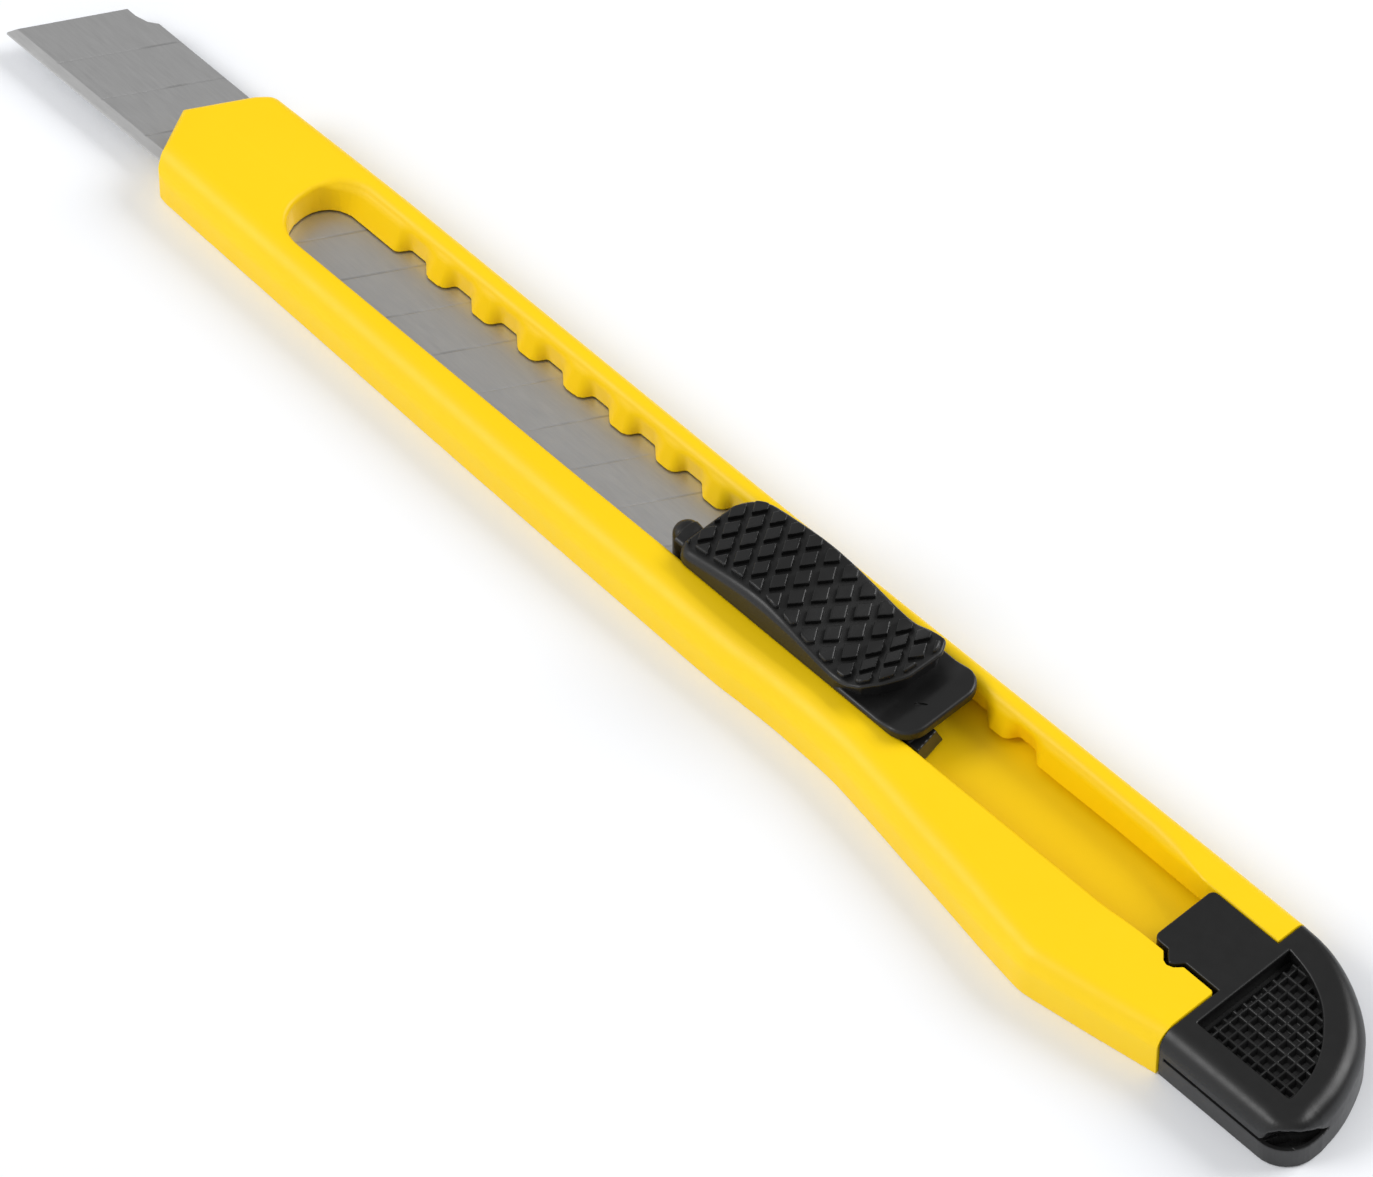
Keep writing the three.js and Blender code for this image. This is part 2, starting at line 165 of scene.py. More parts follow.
def contour(f, lo, hi, step):
    """Closed surface f = 0 by dual contouring: one vertex per cell, on the sharp edges where there are any."""
    lo = np.array(lo, float)
    hx = np.array(step if np.ndim(step) else (step,) * 3, float)
    lo = lo - hx * 1.37
    n = np.ceil((np.array(hi) - lo) / hx + 1.6).astype(int) + 1
    ax = [lo[a] + hx[a] * np.arange(n[a]) for a in range(3)]
    F = np.empty(tuple(n), np.float32)
    Y, Z = np.meshgrid(ax[1], ax[2], indexing="ij")
    rows = max(1, 400000 // Y.size)
    for i in range(0, n[0], rows):
        x = ax[0][i : i + rows]
        X3 = np.broadcast_to(x[:, None, None], (len(x),) + Y.shape)
        F[i : i + rows] = f(X3, np.broadcast_to(Y, X3.shape), np.broadcast_to(Z, X3.shape))
    S = F < 0
    pts, cells, flips = [], [], []
    strides = np.array([n[1] * n[2], n[2], 1])
    around = {
        0: [(0, -1, -1), (0, 0, -1), (0, 0, 0), (0, -1, 0)],
        1: [(-1, 0, -1), (-1, 0, 0), (0, 0, 0), (0, 0, -1)],
        2: [(-1, -1, 0), (0, -1, 0), (0, 0, 0), (-1, 0, 0)],
    }
    for a in range(3):
        sl0 = [slice(None)] * 3
        sl1 = [slice(None)] * 3
        sl0[a] = slice(0, -1)
        sl1[a] = slice(1, None)
        ii = np.argwhere(S[tuple(sl0)] != S[tuple(sl1)])
        if not len(ii):
            continue
        f0 = F[tuple(ii.T)].astype(float)
        jj = ii.copy()
        jj[:, a] += 1
        f1 = F[tuple(jj.T)].astype(float)
        p0 = lo + ii * hx
        t0, t1 = np.zeros(len(ii)), np.ones(len(ii))
        for _ in range(3):
            t = t0 + (t1 - t0) * np.clip(f0 / (f0 - f1), 0.02, 0.98)
            p = p0.copy()
            p[:, a] += t * hx[a]
            ft = f(p[:, 0], p[:, 1], p[:, 2])
            m = (ft < 0) == (f0 < 0)
            t0, f0 = np.where(m, t, t0), np.where(m, ft, f0)
            t1, f1 = np.where(m, t1, t), np.where(m, f1, ft)
        t = t0 + (t1 - t0) * np.clip(f0 / (f0 - f1), 0, 1)
        p = p0.copy()
        p[:, a] += t * hx[a]
        pts.append(p)
        cells.append(np.stack([(ii + np.array(o)) @ strides for o in around[a]], 1))
        flips.append(~S[tuple(ii.T)])
    P = np.concatenate(pts)
    C = np.concatenate(cells)
    flip = np.concatenate(flips)
    e = 0.01
    N = np.stack([
        f(P[:, 0] + e, P[:, 1], P[:, 2]) - f(P[:, 0] - e, P[:, 1], P[:, 2]),
        f(P[:, 0], P[:, 1] + e, P[:, 2]) - f(P[:, 0], P[:, 1] - e, P[:, 2]),
        f(P[:, 0], P[:, 1], P[:, 2] + e) - f(P[:, 0], P[:, 1], P[:, 2] - e),
    ], 1)
    N /= np.maximum(np.linalg.norm(N, axis=1), 1e-9)[:, None]
    ids, inv = np.unique(C.ravel(), return_inverse=True)
    inv = inv.reshape(-1)
    K = len(ids)
    P4 = np.repeat(P, 4, 0)
    N4 = np.repeat(N, 4, 0)
    count = np.bincount(inv, minlength=K).astype(float)
    M = np.stack([np.bincount(inv, P4[:, c], K) for c in range(3)], 1) / count[:, None]
    r = np.einsum("ij,ij->i", N4, P4 - M[inv])
    A = np.zeros((K, 3, 3))
    for u in range(3):
        for v in range(u, 3):
            A[:, u, v] = A[:, v, u] = np.bincount(inv, N4[:, u] * N4[:, v], K)
    b = np.stack([np.bincount(inv, N4[:, c] * r, K) for c in range(3)], 1)
    A += np.eye(3) * 0.04 * count[:, None, None]
    V = M + np.linalg.solve(A, b[:, :, None])[:, :, 0]
    cell = np.stack([ids // strides[0], (ids % strides[0]) // strides[1], ids % strides[1]], 1)
    c0 = lo + cell * hx
    V = np.clip(V, c0 - 0.1 * hx, c0 + 1.1 * hx)
    Q = inv.reshape(-1, 4)
    Q = np.where(flip[:, None], Q[:, ::-1], Q)
    return V, Q


def steel_or_plastic_mesh(name, V, Q, keep=1.0, sharp=32.0):
    """Mesh object in the row frame, in metres, thinned where it is flat, with its real edges kept sharp."""
    V = (V + np.array([OX, OY, OZ])) / 1000.0
    me = bpy.data.meshes.new(name)
    me.vertices.add(len(V))
    me.vertices.foreach_set("co", V.astype(np.float32).ravel())
    me.loops.add(Q.size)
    me.loops.foreach_set("vertex_index", Q.astype(np.int32).ravel())
    me.polygons.add(len(Q))
    me.polygons.foreach_set("loop_start", np.arange(0, Q.size, 4, dtype=np.int32))
    me.polygons.foreach_set("loop_total", np.full(len(Q), 4, np.int32))
    me.update(calc_edges=True)
    me.validate()
    ob = bpy.data.objects.new(name, me)
    bpy.context.scene.collection.objects.link(ob)
    if keep < 1:
        m = ob.modifiers.new("thin", "DECIMATE")
        m.ratio = keep
        dg = bpy.context.evaluated_depsgraph_get()
        thin = bpy.data.meshes.new_from_object(ob.evaluated_get(dg), depsgraph=dg)
        ob.modifiers.clear()
        ob.data = thin
        bpy.data.meshes.remove(me)
        thin.name = name
    ob.data.shade_smooth()
    ob.data.set_sharp_from_angle(angle=math.radians(sharp))
    w = ob.modifiers.new("weighted", "WEIGHTED_NORMAL")
    w.keep_sharp = True
    w.weight = 60
    return ob


# ------------------------------------------------------------------ handle
near_side = spline([(20.4, -6.1), (30, -6.4), (45, -6.84), (59, -7.2), (72, -7.45), (78, -7.54), (82, -7.56), (84.5, -7.46), (87.5, -7.38), (91, -7.43), (94, -7.56), (97, -7.95), (100, -8.4), (103, -8.88), (107.4, -9.56), (112, -10.3)], 5)
near_belly = [(116.6, -10.92, 6.0), (122.4, -10.0), (BODY_END, -8.98)]
far_side = [(BODY_END, 5.7), (120, 5.65), (109, 5.54), (98, 5.41), (85, 5.27), (73, 5.2), (50, 5.16), (35, 5.13), (28, 5.0)]
handle_pts = [(17.0, -1.2, 0.3), (19.45, -5.95, 0.5)] + [tuple(p) for p in near_side] + near_belly + far_side + [(20.75, 4.75, 1.6), (19.75, 3.6, 0.6)]
sides_pts = [(5, -5.62)] + [tuple(p) for p in near_side] + [(116.6, -10.92, 6.0), (122.4, -10.0), (128.25, -8.98), (140, -6.8)] + [(140, 5.8)] + far_side + [(20.75, 4.82), (5, 4.5)]


def tip(x):
    return 2.17 + 0.0125 * (x - 36)


PITCH, NOTCH_X, NOTCHES = 4.91, 38.5, 14
far_low = [(29.75, 2.17, 2.7), (NOTCH_X - 1.5, 2.17, 0.7)]
for k in range(NOTCHES):
    x = NOTCH_X + PITCH * k
    far_low += [(x - 0.85, tip(x) + 0.93, 0.42), (x + 0.75, tip(x) + 0.93, 0.42), (x + 1.85, tip(x + 2), 0.75)]
    if k < NOTCHES - 1:
        far_low += [(x + PITCH - 1.45, tip(x + PITCH - 1.5), 0.9)]
slot_low_pts = [(29.75, -3.72, 2.8), (62, -3.72), (100, -3.5), (118, -3.46), (122, -3.32), (128.0, -3.32), (128.6, -3.8), (135, -3.8), (135, 3.02), (120.5, 3.02), (112.0, 3.12)] + far_low[::-1]
slot_high_pts = [(29.65, -3.86, 3.1), (62, -3.86), (100, -3.6), (118, -3.52), (122, -3.36), (128.0, -3.36), (128.6, -3.85), (135, -3.85), (135, 3.02), (121.2, 3.02, 2.5), (115.0, 3.6, 4.0), (108, 3.66), (85, 3.55), (70, 3.44), (38, 3.25), (29.65, 3.22, 3.3)]
latch_pts = [(122.8, -3.0), (123.25, -3.4, 0.2), (123.8, -3.95, 0.3), (124.25, -4.1, 0.25), (124.75, -3.9, 0.3), (125.2, -3.4, 0.2), (125.8, -3.0)]

P_handle = Plan(rounded(handle_pts))
P_sides = Plan(rounded(sides_pts))
P_low = Plan(rounded(slot_low_pts, 6), h=0.04)
P_high = Plan(rounded(slot_high_pts), h=0.05)
P_latch = Plan(rounded(latch_pts))


def f_handle(x, y, z):
    d = P_handle(x, y)
    f = rmax(d, z - Z_TOP, 0.12 + 0.5 * smooth((26 - x) / 3))
    f = np.maximum(f, rmax(d, Z_BASE - z, 0.12))
    f = np.maximum(f, rmax(P_sides(x, y), z - Z_TOP, np.where(y < 0, 1.7 + 0.6 * smooth((120 - x) / 12), 0.85)))
    s = np.clip((z - Z_LIP - 0.1) / 1.95, 0, 1)
    slot = P_low(x, y) * (1 - s) + P_high(x, y) * s
    slot = np.minimum(slot, np.maximum(P_latch(x, y), -z))
    slot = np.maximum(slot, -0.2 - z)
    f = rmax(f, -slot, 0.42 + 0.48 * smooth((y - 1.0) / 1.5) - (0.3 + 0.4 * smooth((y - 1.0) / 1.5)) * smooth((x - 116.5) / 4.5))
    channel = np.maximum(slab(y, -4.72, 4.66), slab(z, Z_FLOOR, Z_LIP))
    return np.maximum(f, -channel)


# ------------------------------------------------------------------ blade
H2 = 4.5
SLANT = 9.0 / math.tan(math.radians(60))
blade_pts = [(0.3, -H2, 0.12), (79.85, -H2), (84.2, 2.9, 0.5), (83.6, H2, 0.4), (7.75, H2, 0.15), (7.0, 4.0, 0.6), (5.95, 3.75, 0.8), (4.95, 3.75)]
P_blade = Plan(rounded(blade_pts, 6), h=0.04)


def f_blade(x, y, z):
    f = np.maximum(P_blade(x, y), np.abs(z + 0.2) - 0.2)
    f = np.maximum(f, 1.13 - np.hypot(x - 77.0, y) + 0.12)
    # ground bevel on both faces of the cutting edge
    k = 0.185 / 0.8
    g = (np.abs(z + 0.2) - 0.2 + k * (-3.7 - y)) / math.hypot(1, k)
    f = np.maximum(f, g)
    # score lines every 5 mm, cut into the upper face
    u = (x - (y + H2) / math.tan(math.radians(60))) * math.sin(math.radians(60))
    p = 5 * math.sin(math.radians(60))
    w = np.abs(u - p * np.clip(np.round(u / p), 1, 14))
    return np.maximum(f, z + 0.022 - w * 0.4)


# ------------------------------------------------------------------ end cap
cap_pts = [(CAP_FRONT, -8.85, 0.1), (141.0, -8.88, 2.75)] + [tuple(p) for p in spline([(140.95, -5.3), (140.6, -3.3), (139.93, -1.3), (138.86, 0.83), (137.7, 2.25), (136.23, 3.42), (134.56, 4.36), (133.01, 4.98), (131.5, 5.4), (130.0, 5.62), (CAP_FRONT, 5.69)], 5)]
tongue_pts = [(121.85, -3.02, 0.6), (123.35, -3.04, 0.2), (123.9, -3.6, 0.2), (124.25, -3.88, 0.22), (124.65, -3.6, 0.2), (125.05, -3.04, 0.2), (128.8, -3.04), (128.8, 2.95), (121.85, 2.95, 0.5)]
grip_pts = [(129.3, -6.1, 0.12), (138.4, -6.1, 0.25)] + [tuple(p) for p in spline([(138.25, -5.2), (137.95, -3.8), (137.5, -2.65), (136.75, -1.35), (135.9, -0.3), (134.7, 0.9), (133.5, 1.75), (132.1, 2.42), (130.75, 2.82), (129.3, 3.1)], 4)]
P_cap = Plan(rounded(cap_pts), h=0.04)
P_cap_sides = Plan(rounded([(118, -8.83)] + cap_pts[1:] + [(118, 5.72)]), h=0.04)
P_tongue = Plan(rounded(tongue_pts), h=0.04)
P_grip = Plan(rounded(grip_pts), h=0.04)
# arc along the near rear corner, from its middle: height and depth of the opening there
ARC_X, ARC_Y, ARC_R = 138.24, -6.13, 2.74
OPEN_S = np.array([-4.6, -4.1, -3.6, -2.9, -1.8, -0.6, 0.5, 1.3, 1.9])
OPEN_Z = np.array([0.30, 0.60, 1.40, 1.88, 1.95, 1.60, 1.00, 0.50, 0.20])
OPEN_D = np.array([-0.3, 0.20, 0.85, 1.30, 1.50, 1.25, 0.75, 0.25, -0.3])


def f_cap(x, y, z):
    d = P_cap(x, y)
    f = rmax(d, z - Z_TOP, 0.12)
    f = np.maximum(f, rmax(d, Z_BASE - z, 0.12))
    back = smooth((x - 130.0) / 8.0)
    r = np.where(y < 0, 1.7 - 0.1 * back, 0.88 + 0.72 * back) - 0.6 * smooth(1.2 - np.hypot(x - 140.2, y + 8.0) / 2.4)
    f = np.maximum(f, rmax(P_cap_sides(x, y), z - Z_TOP, r))
    # recess with its grid of ribs
    rx = np.abs((x - 130.5) / 0.945 - np.round((x - 130.5) / 0.945)) * 0.945
    ry = np.abs((y - 2.72) / 0.985 - np.round((y - 2.72) / 0.985)) * 0.985
    rib = 0.44 * smooth(1 - (np.minimum(rx, ry) - 0.03) / 0.28) * smooth((x - 129.8) / 0.25)
    pocket = np.maximum(P_grip(x, y), (1.55 + rib - 0.4 * smooth((130.1 - x) / 0.5) - z) * 0.5)
    f = rmax(f, -pocket, 0.16)
    # slit at the near side and the opening it leads to at the corner
    slit = np.maximum(np.maximum(slab(z, 0.08, 0.43), y + 7.6), 128.8 - x)
    f = np.maximum(f, -slit)
    ang = np.arctan2(y - ARC_Y, x - ARC_X)
    s = np.where(y < ARC_Y, np.where(x > ARC_X, ang * ARC_R, x - ARC_X - ARC_R * math.pi / 2), y - ARC_Y)
    near_arc = (x > 135.0) & (y < -3.0)
    top = np.interp(s, OPEN_S, OPEN_Z)
    depth = np.where(near_arc, np.interp(s, OPEN_S, OPEN_D), -0.3)
    hole = np.maximum(-(d + depth), np.maximum(z - top - 0.25 * d, 0.1 - z) * 0.9)
    f = rmax(f, -hole, 0.08 + 0.47 * smooth((z - 0.5) / 0.8))
    pit = np.maximum(np.maximum(-(d + depth), d + 0.34), slab(z, -0.9, 0.2))
    f = rmax(f, -pit, 0.08)
    # plug in the blade channel, tongue in the slot
    plug = np.maximum(slab(x, 121.8, 129.2), np.maximum(slab(y, -4.55, 4.5), slab(z, -0.44, 0.07)))
    t = np.maximum(P_tongue(x, y), -0.2 - z)
    t = rmax(t, z - Z_TOP, 0.14)
    return np.minimum(np.minimum(f, plug), t)


# ------------------------------------------------------------------ thumb slider
PROFILE = np.array([
    (72.0, 3.9), (74.0, 3.95), (74.6, 4.0), (75.7, 4.18), (77.65, 4.62), (79.5, 4.98), (81.4, 5.24), (83.1, 5.29), (85.0, 5.08),
    (86.9, 4.68), (88.0, 4.42), (89.1, 4.16), (90.2, 4.0), (91.1, 4.06), (92.3, 4.56), (93.2, 4.88), (94.0, 5.0), (94.8, 4.88), (96, 4.5)])
_px = np.linspace(72, 96, 481)
_t = np.interp(_px, PROFILE[:, 0], PROFILE[:, 1])
for _ in range(60):
    _t[1:-1] = 0.25 * _t[:-2] + 0.5 * _t[1:-1] + 0.25 * _t[2:]


def pad_height(x):
    return np.interp(x, _px, _t)


plate_pts = [(73.9, -4.2, 1.2), (98.1, -4.2, 1.95), (98.1, 3.88, 1.8), (73.9, 3.88, 2.5)]
pad_pts = [(73.95, -4.2, 1.15), (91.9, -4.2, 0.7), (92.9, -3.9, 0.7), (94.0, -2.6, 1.5), (94.8, -0.8, 3.0), (94.9, 2.6, 1.2), (94.2, 3.72, 0.6), (73.95, 3.72, 2.6)]
P_plate = Plan(rounded(plate_pts), h=0.04)
P_pad = Plan(rounded(pad_pts), h=0.04)
BX, BY = 1.87, 3.02


def bosses(x, y):
    """Distance to the nearest diamond boss in plan, inside negative."""
    out = None
    for ox, oy in ((82.37, 1.24), (82.37 + BX / 2, 1.24 - BY / 2)):
        u = np.abs((x - ox) / BX - np.round((x - ox) / BX)) * BX
        v = np.abs((y - oy) / BY - np.round((y - oy) / BY)) * BY
        d = (u / 0.67 + v / 0.98 - 1) * 0.553
        out = d if out is None else np.minimum(out, d)
    return out


def f_button(x, y, z):
    plate = rmax(P_plate(x, y), z - 3.55 + 0.36 * smooth((96.7 - x) / 2.0), 0.28)
    plate = rmax(plate, 2.66 - z, 0.15)
    H = pad_height(x)
    # the crest stands out over the plate behind it
    side = P_pad(x, y) + 0.05 * (z - 2.7) + 0.5 * smooth((H - 0.25 - z) / 0.3) * smooth((x - 90.5) / 1.5)
    side = np.maximum(side, x - (94.9 + 0.1 * (z - 4.9)))
    pad = rmax(side, (z - H) * 0.93, 0.3 - 0.12 * smooth((x - 91) / 1.5) + 0.35 * smooth((-3.0 - y) / 1.0) * smooth((88.0 - x) / 6.0))
    b = rmax(bosses(x, y), (z - H - 0.4) * 0.93, 0.1)
    b = rmax(b, np.maximum(side + 0.3, np.maximum(y - 3.25, -y - 3.3 - 0.5 * smooth((x - 80) / 8))), 0.14)
    pad = np.minimum(pad, b)
    pad = np.maximum(pad, 3.0 - z)
    f = np.minimum(plate, pad)
    # small mould mark on the rear of the plate
    m = np.hypot((x - 96.3) * 0.8 + (y + 1.0) * 0.6, ((x - 96.3) * 0.6 - (y + 1.0) * 0.8) * 4)
    f = np.maximum(f, -np.maximum(m - 0.5, 3.36 - z))
    r = np.hypot(x - 72.9, y + 1.85)
    knob = np.maximum(rmax(r - 1.12, z - 3.38, 0.85), 0.12 - z)
    neck = np.maximum(rmax(slab(y, -3.3, -0.95), z - 3.3, 0.35), np.maximum(slab(x, 73.0, 75.5), 2.2 - z))
    f = rmin(f, rmin(knob, neck, 0.25), 0.25)
    peg = np.maximum(np.minimum(slab(x, 80, 82.6), slab(x, 90, 92.6)), np.maximum(slab(y, -2.85, -1.85), slab(z, 0.9, 3)))
    return np.minimum(f, peg)


# ------------------------------------------------------------------ blade carrier
P_foot = Plan(rounded([(85.7, -4.4, 0.6), (96.3, -4.4, 0.6), (96.3, 4.3, 0.6), (85.7, 4.3, 0.6)]), h=0.05)


def block(x, y, z, x0, x1, y0, y1, z0, z1, r):
    return rmax(rmax(slab(x, x0, x1), slab(y, y0, y1), r), slab(z, z0, z1), r)


def f_carrier(x, y, z):
    foot = rmax(P_foot(x, y), slab(z, -0.42, 0.08), 0.08)
    seat = block(x, y, z, 85.7, 95.8, -1.4, 2.1, -0.3, 0.34, 0.08)
    web = block(x, y, z, 75.4, 78.6, -1.6, 0.6, 0.06, 0.34, 0.06)
    bar = block(x, y, z, 74.3, 97.4, -3.36, -1.25, 0.06, 2.56, 0.15)
    # rear end of the bar, spreading towards its foot
    end = x - (98.2 + 0.19 * (-2.1 - y))
    flank = (y - (-0.2 - 0.45 * (z - 0.1))) * 0.9
    tail = rmax(rmax(np.maximum(end, 95.2 - x), np.maximum(flank, -3.36 - y), 0.12), slab(z, 0.07, 2.05), 0.12)
    pin = rmax(np.hypot(x - 77, y) - 1.13, slab(z, -0.38, 0.32), 0.08)
    post = rmax(np.hypot(x - 87.1, y - 0.9) - 0.55, slab(z, 0.2, 2.3), 0.12)
    f = rmin(rmin(rmin(foot, seat, 0.08), rmin(bar, tail, 0.15), 0.1), np.minimum(web, pin), 0.02)
    f = rmin(f, post, 0.1)
    for x0 in (80.0, 90.0):
        f = np.maximum(f, -np.maximum(np.maximum(slab(x, x0 - 0.12, x0 + 2.72), slab(y, -2.97, -1.73)), 0.78 - z))
    return np.maximum(f, 1.22 - np.hypot(x - 72.9, y + 1.85))


# ------------------------------------------------------------------ ratchet spring
PAWL_X = NOTCH_X + PITCH * 8
NUB_Y = tip(NOTCH_X) + 0.83
P_spring = Plan(rounded([
    (87.1, 1.75), (84.1, 1.6), (PAWL_X + 1.15, 2.1, 0.3), (PAWL_X + 0.45, NUB_Y, 0.3), (PAWL_X - 0.5, NUB_Y, 0.3),
    (PAWL_X - 0.95, 2.15, 0.4), (PAWL_X - 0.95, 1.35, 0.35), (84.1, 0.75), (87.1, 0.15)]), h=0.04)


def f_spring(x, y, z):
    r = np.hypot(x - 87.1, y - 0.9)
    f = rmin(r - 1.15, P_spring(x, y), 0.3)
    f = rmax(f, slab(z, 0.45, 1.15), 0.1)
    return rmax(f, 0.62 - r, 0.06)


# ------------------------------------------------------------------ build the pieces
def piece(name, f, lo, hi, step, keep, node, body, sharp=32.0):
    V, Q = contour(f, lo, hi, step)
    ob = steel_or_plastic_mesh(name, V, Q, keep, sharp)
    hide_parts(node)
    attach(ob, body)
    return ob


handle = piece("handle_shell", f_handle, (17, -11, -1.9), (128.3, 5.8, 2.6), 0.15, 0.22, "body_shell", "handle")
blade = piece("snap_blade", f_blade, (0, -4.5, -0.4), (84.3, 4.5, 0), (0.1, 0.1, 0.05), 0.25, "blade", "slider", 12.0)
cap = piece("end_cap_moulding", f_cap, (121.8, -8.9, -1.9), (141.1, 5.8, 2.6), 0.075, 0.5, "end_cap", "cap")
button = piece("thumb_slider", f_button, (71.7, -4.3, 0.1), (98.2, 3.9, 5.75), 0.075, 0.5, "slider_button", "slider")
carrier = piece("slider_carrier", f_carrier, (74.2, -4.5, -0.45), (98.6, 4.4, 2.6), 0.1, 0.5, "blade_carrier", "slider")
spring = piece("pawl_spring", f_spring, (76.5, -0.3, 0.4), (88.4, 3.2, 1.2), 0.07, 0.5, "ratchet_spring", "ratchet")


# ------------------------------------------------------------------ materials
def srgb(r, g, b):
    c = np.array([r, g, b]) / 255.0
    c = np.where(c <= 0.04045, c / 12.92, ((c + 0.055) / 1.055) ** 2.4)
    return (float(c[0]), float(c[1]), float(c[2]), 1.0)


def material(name):
    m = bpy.data.materials.new(name)
    m.use_nodes = True
    nt = m.node_tree
    nt.nodes.clear()
    out = nt.nodes.new("ShaderNodeOutputMaterial")
    bs = nt.nodes.new("ShaderNodeBsdfPrincipled")
    nt.links.new(bs.outputs[0], out.inputs[0])
    return m, nt, bs


def noise(nt, scale, detail=3.0, rough=0.55, vec=None, stretch=None):
    tc = nt.nodes.new("ShaderNodeTexCoord")
    mp = nt.nodes.new("ShaderNodeMapping")
    nt.links.new(tc.outputs["Object"], mp.inputs["Vector"])
    if stretch:
        mp.inputs["Scale"].default_value = stretch
    n = nt.nodes.new("ShaderNodeTexNoise")
    n.inputs["Scale"].default_value = scale
    n.inputs["Detail"].default_value = detail
    n.inputs["Roughness"].default_value = rough
    nt.links.new(mp.outputs[0], n.inputs["Vector"])
    return n


def ramp(nt, src, stops):
    r = nt.nodes.new("ShaderNodeValToRGB")
    els = r.color_ramp.elements
    while len(els) > 1:
        els.remove(els[-1])
    els[0].position = stops[0][0]
    els[0].color = stops[0][1]
    for p, c in stops[1:]:
        e = els.new(p)
        e.color = c
    nt.links.new(src, r.inputs[0])
    return r


def grey(v):
    return (v, v, v, 1)


def plastic(name, lo, hi, rough, spread, spec, grain, bump, tint=(1, 1, 1, 1), painted_reflection_below=None):
    m, nt, bs = material(name)
    big = noise(nt, 60, 3)
    c = ramp(nt, big.outputs[0], [(0.3, lo), (0.7, hi)])
    if painted_reflection_below:
        # painted reflection: the base colour is paler below the slit, standing in for the floor seen in the lower wall
        geo = nt.nodes.new("ShaderNodeTexCoord")
        sep = nt.nodes.new("ShaderNodeSeparateXYZ")
        nt.links.new(geo.outputs["Object"], sep.inputs[0])
        span = nt.nodes.new("ShaderNodeMapRange")
        span.inputs["From Min"].default_value = 0.0017
        span.inputs["From Max"].default_value = 0.0021
        nt.links.new(sep.outputs["Z"], span.inputs["Value"])
        mix = nt.nodes.new("ShaderNodeMix")
        mix.data_type = "RGBA"
        mix.inputs["A"].default_value = painted_reflection_below
        nt.links.new(span.outputs[0], mix.inputs["Factor"])
        nt.links.new(c.outputs[0], mix.inputs["B"])
        nt.links.new(mix.outputs["Result"], bs.inputs["Base Color"])
    else:
        nt.links.new(c.outputs[0], bs.inputs["Base Color"])
    mid = noise(nt, 900, 4, 0.6)
    r = ramp(nt, mid.outputs[0], [(0.3, grey(rough - spread)), (0.7, grey(rough + spread))])
    nt.links.new(r.outputs[0], bs.inputs["Roughness"])
    bs.inputs["Specular IOR Level"].default_value = spec
    bs.inputs["Specular Tint"].default_value = tint
    g = noise(nt, grain, 2, 0.5)
    b = nt.nodes.new("ShaderNodeBump")
    b.inputs["Strength"].default_value = bump
    b.inputs["Distance"].default_value = 0.00002
    nt.links.new(g.outputs[0], b.inputs["Height"])
    nt.links.new(b.outputs[0], bs.inputs["Normal"])
    return m


yellow = plastic("yellow_plastic_moulded", (0.87, 0.575, 0.0005, 1), (0.90, 0.60, 0.002, 1), 0.40, 0.03, 0.32, 9000, 0.15, (1, 0.93, 0.8, 1))
black = plastic("black_plastic_moulded", (0.0050, 0.0050, 0.0052, 1), (0.0072, 0.0072, 0.0072, 1), 0.36, 0.04, 0.38, 9000, 0.2)
# cap material with a painted reflection: the base colour is paler below the slit
black_cap_painted_reflection = plastic("black_plastic_cap_painted_reflection", (0.0050, 0.0050, 0.0052, 1), (0.0072, 0.0072, 0.0072, 1), 0.36, 0.04, 0.38, 9000, 0.2, painted_reflection_below=(0.024, 0.024, 0.0242, 1))


def calc(nt, op, *args):
    n = nt.nodes.new("ShaderNodeMath")
    n.operation = op
    for i, a in enumerate(args):
        if isinstance(a, (int, float)):
            n.inputs[i].default_value = a
        else:
            nt.links.new(a, n.inputs[i])
    return n.outputs[0]


def score_painted_shade(nt):
    """Mask for painted shade in the score lines: 1 on the lines, broken up along their length, 0 elsewhere."""
    tc = nt.nodes.new("ShaderNodeTexCoord")
    dot = nt.nodes.new("ShaderNodeVectorMath")
    dot.operation = "DOT_PRODUCT"
    dot.inputs[1].default_value = (200, -1000 / (10 * math.sin(math.radians(60))), 0)
    nt.links.new(tc.outputs["Object"], dot.inputs[0])
    shift = (math.sin(math.radians(60)) * -OX - 0.5 * (H2 - OY)) / (5 * math.sin(math.radians(60)))
    t = calc(nt, "ADD", dot.outputs["Value"], shift + 0.5)
    w = calc(nt, "ABSOLUTE", calc(nt, "SUBTRACT", calc(nt, "FRACT", t), 0.5))
    line = nt.nodes.new("ShaderNodeMapRange")
    line.inputs["From Min"].default_value = 0.030
    line.inputs["From Max"].default_value = 0.014
    nt.links.new(w, line.inputs["Value"])
    sep = nt.nodes.new("ShaderNodeSeparateXYZ")
    nt.links.new(tc.outputs["Object"], sep.inputs[0])
    face = calc(nt, "MULTIPLY", calc(nt, "GREATER_THAN", t, 1.0), calc(nt, "GREATER_THAN", sep.outputs["Y"], (OY - 3.7) / 1000))
    patch = ramp(nt, noise(nt, 330, 1, 0.5).outputs[0], [(0.42, grey(0.08)), (0.62, grey(1))])
    return calc(nt, "MULTIPLY", calc(nt, "MULTIPLY", line.outputs[0], face), patch.outputs[0])


